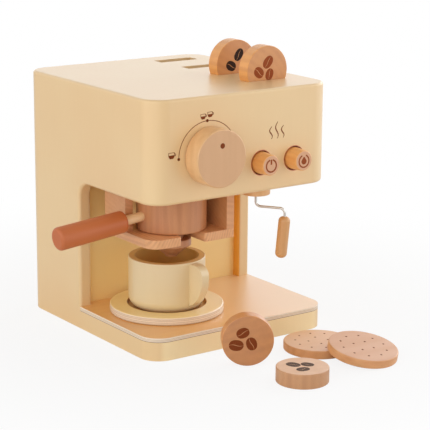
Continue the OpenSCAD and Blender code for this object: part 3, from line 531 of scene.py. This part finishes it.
class Print:
    """Flat ink shapes, drawn in millimetres on a face and lifted by the ink's thickness."""

    slot = "terracotta_painted_wood"

    def __init__(self, name, mat, body, origin, right=(1, 0, 0), up=(0, 0, 1)):
        self.bm = bmesh.new()
        self.name, self.mat, self.body = name, mat, body
        r, u = Vector(right).normalized(), Vector(up).normalized()
        turn = Matrix((r, u, r.cross(u))).transposed()
        self.frame = Matrix.Translation(Vector(origin) * MM) @ turn.to_4x4()

    def strip(self, pairs):
        """Quads between two rows of points, given as pairs."""
        rows = [[self.bm.verts.new((p[0] * MM, p[1] * MM, 0)) for p in pair] for pair in pairs]
        for a, b in zip(rows, rows[1:]):
            self.bm.faces.new((a[0], b[0], b[1], a[1]))

    def fill(self, points):
        """One face inside a loop of points."""
        self.bm.faces.new([self.bm.verts.new((x * MM, y * MM, 0)) for x, y in points])

    def arc(self, cx, cy, r, width, start, end):
        """A line along an arc between two angles, in degrees."""
        n = int((end - start) / 5)
        pairs = []
        for i in range(n + 1):
            a = math.radians(start + (end - start) * i / n)
            pairs.append([(cx + q * math.cos(a), cy + q * math.sin(a))
                          for q in (r - width / 2, r + width / 2)])
        self.strip(pairs)

    def dot(self, cx, cy, r):
        """A filled circle."""
        self.fill([(cx + r * math.cos(a), cy + r * math.sin(a))
                   for a in (math.tau * i / 32 for i in range(32))])

    def stroke(self, points, widths):
        """A curved stroke along points, with a width at each."""
        pairs = []
        for i, (x, y) in enumerate(points):
            x0, y0 = points[max(i - 1, 0)]
            x1, y1 = points[min(i + 1, len(points) - 1)]
            d = math.hypot(x1 - x0, y1 - y0) or 1
            nx, ny, w = -(y1 - y0) / d, (x1 - x0) / d, widths[i] / 2
            pairs.append(((x + nx * w, y + ny * w), (x - nx * w, y - ny * w)))
        self.strip(pairs)

    def bean(self, cx, cy, length, width, turn, bend):
        """A coffee bean: two halves with a wavy crease between them, bent one way or the other."""
        n, at = 28, turned(cx, cy, turn)
        for side in (1, -1):
            pairs = []
            for i in range(n + 1):
                s = -1 + 2 * i / n
                s = math.copysign(1 - (1 - abs(s)) ** 1.6, s)
                rim = width / 2 * max(0.0, 1 - abs(s) ** 2.3) ** (1 / 2.1)
                crease = bend * 0.075 * width * math.sin(s * 2.9) + 0.04 * width * s
                gap = 0.036 * width * (1 - 0.75 * abs(s))
                inner = min(max(crease + side * gap, -rim), rim)
                pairs.append((at(s * length / 2, inner), at(s * length / 2, side * rim)))
            self.strip(pairs)

    def done(self):
        """Give the shapes their thickness and put them on the face."""
        bm = self.bm
        bmesh.ops.remove_doubles(bm, verts=bm.verts, dist=1e-7)
        bmesh.ops.dissolve_degenerate(bm, dist=1e-7, edges=bm.edges)
        made = bmesh.ops.extrude_face_region(bm, geom=bm.faces[:])
        lifted = [v for v in made["geom"] if isinstance(v, bmesh.types.BMVert)]
        bmesh.ops.translate(bm, verts=lifted, vec=(0, 0, PRINT_T))
        bmesh.ops.recalc_face_normals(bm, faces=bm.faces)
        bm.transform(self.frame)
        obj = mesh_piece(self.name, bm, self.mat)
        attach(obj, self.body)


def cup_sign(p, cx, cy, w, tilt):
    """A small cup with its handle, half full. The centre is the middle of what it holds."""
    at = turned(cx, cy, tilt)
    deep, rim, line, wall_t = 0.5 * w, 0.31 * w, 0.4, 0.45
    def wall(y):
        return w / 2 * (1 - max(0.0, -y / deep) ** 2.2 * 0.5)
    low = [-deep + deep * i / 8 for i in range(9)]
    p.strip([(at(-wall(y), y), at(wall(y), y)) for y in low])
    high = [rim * i / 3 for i in range(4)]
    for s in (-1, 1):
        p.strip([(at(s * wall(y), y), at(s * (wall(y) - wall_t), y)) for y in high])
    p.strip([(at(x, rim), at(x, rim + line)) for x in (-w / 2, w / 2)])
    hx, hy = at(w / 2, 0.02 * w)
    p.arc(hx, hy, 0.17 * w, 0.6, tilt - 100, tilt + 100)


def scale_print():
    """The scale round the dial: a half ring with three dots, and cups beside it."""
    scale_r, dot_r = 30, 1.35
    p = Print("dial_scale_print", brown_ink, "casing",
              (knob.mid.x - 1, fascia.low.y, knob.mid.z - 0.1))
    p.arc(0, 0, scale_r, 0.6, 0, 180)
    for a in (0, 92, 180):
        t = math.radians(a)
        p.dot(scale_r * math.cos(t), scale_r * math.sin(t), dot_r)
    # A cup at the left end and two at the top, each as (x, y, width, tilt)
    for sign in ((-37.25, 4.25, 6.1, 2), (-5.45, 34.05, 5.2, 3), (1.7, 35.3, 5.2, 3)):
        cup_sign(p, *sign)
    p.done()


def steam_print():
    """Three wisps of steam, where the photograph has a word."""
    aside, above = -1.7, 26.5
    middle = (power.mid.x + brew.mid.x) / 2
    p = Print("steam_print", brown_ink, "casing",
              (middle + aside, fascia.low.y, power.mid.z + above))
    n, sway, waves, phase, thin, swell = 24, 1.5, 1.05, 0.3, 0.35, 0.75
    widths = [thin + swell * math.sin(math.pi * (i / n)) ** 0.8 for i in range(n + 1)]
    # Each wisp as its x, its height and the height of its middle
    for x, h, lift in ((-6.4, 11, -1.2), (0, 15, 0.6), (6.4, 11, -1.2)):
        p.stroke([(x + sway * math.sin(math.tau * (i / n) * waves + phase),
                   lift - h / 2 + h * i / n) for i in range(n + 1)], widths)
    p.done()


def dial_dot():
    """The dot on the dial itself, which turns with it."""
    p = Print("dial_dot", brown_ink, "dial", (knob.mid.x + 0.3, knob.low.y, knob.mid.z + 11.2))
    p.dot(0, 0, 2.35)
    p.done()


def button_prints():
    """The sign for on and off, and a drop in a ring. Both rings are open at the top."""
    p = Print("power_sign", amber_ink, "left_button", (power.mid.x, power.low.y, power.mid.z))
    low = -0.4
    p.arc(0, low, 5.3, 1.35, 106, 434)
    p.stroke([(0, 0.7), (0, 3), (0, 5.2)], [1.6, 1.6, 1.6])
    p.done()
    p = Print("brew_sign", amber_ink, "right_button", (brew.mid.x, brew.low.y, brew.mid.z))
    p.arc(0, low, 5.4, 1.25, 112, 428)
    r, centre, peak = 2.85, -0.45, 1.44
    drop = []
    for i in range(32):
        a = math.tau * i / 32
        x, up = r * math.sin(a), -r * math.cos(a)
        if up > 0:
            up *= 1 + (peak - 1) * (up / r) ** 2
            x *= 1 - 0.5 * (up / (peak * r)) ** 1.2
        drop.append((x, centre + up))
    p.fill(drop)
    p.done()


def bean_prints():
    """Three beans on the face of each disc, each as (x, y, length, width, turn)."""
    def face_of(disc):
        return (disc.mid.x, disc.low.y, disc.mid.z)

    stand, lie = box_of("standing_disc"), box_of("lying_disc")
    half = (lie.high.z - lie.low.z) / 2
    # The standing disc faces the front left
    t = math.radians(120.4)
    out = Vector((math.cos(t), -math.sin(t), 0))
    discs = (
        ("front", amber_ink, face_of(box_of("slot_disc_front")), (1, 0, 0), (0, 0, 1),
         [(0.7, 7.5, 12.7, 9, 47), (-9.2, -1.1, 11.2, 9.3, -38), (2.5, -3.5, 10.8, 8.2, 66)]),
        ("rear", black_ink, face_of(box_of("slot_disc_rear")), (1, 0, 0), (0, 0, 1),
         [(2.3, 8.4, 12.3, 8.4, 55), (-6.2, -1.3, 11.2, 8.8, -26), (7.8, -3.4, 11.2, 8.6, 74)]),
        ("standing", brown_ink, stand.mid + out * half, (-out.y, out.x, 0), (0, 0, 1),
         [(-4.4, 7.1, 11.3, 9, 20), (-10, -3.7, 12.6, 9.7, -3), (3.1, -2.6, 11.6, 9.2, -74)]),
        ("lying", black_ink_painted_sheen, (lie.mid.x, lie.mid.y, lie.high.z), (1, 0, 0), (0, 1, 0),
         [(-4.1, 7.3, 12.8, 10, -72), (5.9, 1.0, 11.4, 9, -61), (-4.4, -6.3, 11.6, 9, -8)]))
    for name, mat, origin, right, up, beans in discs:
        p = Print(f"bean_disc_{name}_beans", mat, f"bean_disc_{name}", origin, right, up)
        for bean, bend in zip(beans, (1, -1, 1)):
            p.bean(*bean, bend=bend)
        p.done()


# ---------- biscuits ----------

# A biscuit's radius and thickness, in millimetres
BISCUIT_R = 30.5
BISCUIT_T = 7.4


def biscuit_dimples(name, body, turn, outer, inner):
    """Painted shade lining a biscuit's dimples: turn is the biscuit's own frame, in millimetres,
    and outer and inner are where its two rings of dimples start, in degrees."""
    bm = bmesh.new()
    rings = ((10, 0.66 * BISCUIT_R, outer), (4, 0.29 * BISCUIT_R, inner))
    spots = [(r, start + 360 / count * i) for count, r, start in rings for i in range(count)]
    # The lining fills a dimple but for a shallow pit, and spreads over its rim as a thin halo
    fill_r, fill_low = 0.73, 6.24
    halo_r, halo_top = 0.98, BISCUIT_T + 0.04
    pit_r, pit_floor = 0.64, 7.0
    profile = [(0, fill_low), (fill_r, fill_low), (fill_r, BISCUIT_T), (halo_r, BISCUIT_T),
               (halo_r, halo_top), (pit_r + 0.02, halo_top), (pit_r, pit_floor), (0, pit_floor)]
    n = 16
    for r, a in spots:
        cx, cy = r * math.cos(math.radians(a)), r * math.sin(math.radians(a))
        rows = []
        for pr, pz in profile:
            if pr == 0:
                rows.append([bm.verts.new((cx, cy, pz))])
            else:
                rows.append([bm.verts.new((cx + pr * math.cos(math.tau * i / n),
                                           cy + pr * math.sin(math.tau * i / n), pz))
                             for i in range(n)])
        for low, high in zip(rows, rows[1:]):
            for i in range(n):
                j = (i + 1) % n
                corners = [low[i % len(low)], low[j % len(low)], high[j % len(high)],
                           high[i % len(high)]]
                bm.faces.new(list(dict.fromkeys(corners)))
    bmesh.ops.recalc_face_normals(bm, faces=bm.faces)
    bm.transform(Matrix.Scale(MM, 4) @ turn)
    obj = mesh_piece(name, bm, dimple_shade)
    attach(obj, body)


def all_dimples():
    """The dimples of the flat biscuit, and of the one that leans on its rim."""
    centre = box_of("flat_biscuit").mid
    flat = (Matrix.Translation((centre.x, centre.y, 0))
            @ Matrix.Rotation(math.radians(-72.9), 4, "Z"))
    biscuit_dimples("flat_biscuit_dimples", "biscuit_flat", flat, 36, 52)
    apart, clearance = 45.2, 0.3
    lean = math.atan((BISCUIT_T + clearance) / apart)
    tilted = (flat @ Matrix.Translation((apart + BISCUIT_R, 0, 0))
              @ Matrix.Rotation(lean, 4, "Y") @ Matrix.Translation((-BISCUIT_R, 0, 0)))
    biscuit_dimples("leaning_biscuit_dimples", "biscuit_leaning", tilted, 28, 27)


# ---------- stage ----------

# Each lamp: its name, its place, the place it faces, its size in metres and its power in watts
LAMP_AIM = (0, -0.05, 0.1)
LAMPS = (
    ("right", (1.5, 0.1, 0.75), LAMP_AIM, (1.6, 1.2), 9.5),
    ("left", (-1.5, -0.6, 0.5), LAMP_AIM, (2.8, 1.6), 16),
    ("front", (1.3, -1.1, 0.4), LAMP_AIM, (2.0, 1.2), 8),
    ("back", (1.4, 1.8, 0.7), (0, 0, 0.2), (2.6, 1.2), 3.3),
    ("back_left", (-1.5, 0.3, 0.4), LAMP_AIM, (1.2, 0.8), 1),
)
SOFT_STRENGTH = 0.46
SOFT_WHITE = (1, 0.98, 0.95, 1)


def make_lamps():
    """Broad lamps all round, each turned to what it faces."""
    for name, place, aim, size, watts in LAMPS:
        data = bpy.data.lights.new(name, "AREA")
        data.shape, data.size, data.size_y = "RECTANGLE", size[0], size[1]
        data.energy = watts
        obj = bpy.data.objects.new(name, data)
        bpy.context.scene.collection.objects.link(obj)
        obj.location = place
        obj.rotation_euler = (Vector(aim) - Vector(place)).to_track_quat("-Z", "Y").to_euler()


def seen_rays(tree, path):
    """1 for the rays that show the background: camera, glossy and transmission rays."""
    total = path.outputs["Is Camera Ray"]
    for name in ("Is Glossy Ray", "Is Transmission Ray"):
        node = tree.nodes.new("ShaderNodeMath")
        node.operation = "MAXIMUM"
        tree.links.new(total, node.inputs[0])
        tree.links.new(path.outputs[name], node.inputs[1])
        total = node.outputs[0]
    return total


def make_world():
    """A soft light from all round, and a white background."""
    world = bpy.data.worlds.new("world")
    bpy.context.scene.world = world
    world.use_nodes = True
    t = world.node_tree
    t.nodes.clear()
    out = t.nodes.new("ShaderNodeOutputWorld")
    soft, white = t.nodes.new("ShaderNodeBackground"), t.nodes.new("ShaderNodeBackground")
    soft.inputs[0].default_value, soft.inputs[1].default_value = SOFT_WHITE, SOFT_STRENGTH
    white.inputs[0].default_value, white.inputs[1].default_value = (1, 1, 1, 1), 1.0
    path, mix = t.nodes.new("ShaderNodeLightPath"), t.nodes.new("ShaderNodeMixShader")
    t.links.new(seen_rays(t, path), mix.inputs[0])
    t.links.new(soft.outputs[0], mix.inputs[1])
    t.links.new(white.outputs[0], mix.inputs[2])
    t.links.new(mix.outputs[0], out.inputs[0])


def floor_finish():
    """White paper that keeps a faint shadow near the part, and fades into the background from
    near to far, in metres."""
    near, far, least_glow = 0.15, 0.5, 0.85
    mat = bpy.data.materials.new("floor")
    mat.use_nodes = True
    t = mat.node_tree
    t.nodes.clear()
    out = t.nodes.new("ShaderNodeOutputMaterial")
    paper, glow = t.nodes.new("ShaderNodeBsdfDiffuse"), t.nodes.new("ShaderNodeEmission")
    paper.inputs[0].default_value = (0.92, 0.92, 0.92, 1)
    glow.inputs[0].default_value, glow.inputs[1].default_value = (1, 1, 1, 1), 1.0
    path, mix = t.nodes.new("ShaderNodeLightPath"), t.nodes.new("ShaderNodeMixShader")
    place, away = t.nodes.new("ShaderNodeTexCoord"), t.nodes.new("ShaderNodeVectorMath")
    away.operation = "LENGTH"
    t.links.new(place.outputs["Object"], away.inputs[0])
    reach = t.nodes.new("ShaderNodeMapRange")
    reach.interpolation_type = "SMOOTHSTEP"
    for k, v in (("From Min", near), ("From Max", far), ("To Min", least_glow), ("To Max", 1.0)):
        reach.inputs[k].default_value = v
    t.links.new(away.outputs["Value"], reach.inputs["Value"])
    part = t.nodes.new("ShaderNodeMath")
    part.operation = "MULTIPLY"
    t.links.new(path.outputs["Is Camera Ray"], part.inputs[0])
    t.links.new(reach.outputs[0], part.inputs[1])
    t.links.new(part.outputs[0], mix.inputs[0])
    t.links.new(paper.outputs[0], mix.inputs[1])
    t.links.new(glow.outputs[0], mix.inputs[2])
    t.links.new(mix.outputs[0], out.inputs[0])
    return mat


def make_floor():
    """A wide floor, a little under the part."""
    mesh = bpy.data.meshes.new("floor")
    half, z = 3.0, -0.2 * MM
    corners = [(-half, -half, z), (half, -half, z), (half, half, z), (-half, half, z)]
    mesh.from_pydata(corners, [], [(0, 1, 2, 3)])
    mesh.materials.append(floor_finish())
    floor = bpy.data.objects.new("floor", mesh)
    bpy.context.scene.collection.objects.link(floor)


make_camera()
dress_nodes()
smooth_nodes()
scale_print()
steam_print()
dial_dot()
button_prints()
bean_prints()
all_dimples()
make_world()
make_floor()
make_lamps()
bpy.context.scene.view_settings.view_transform = "Standard"
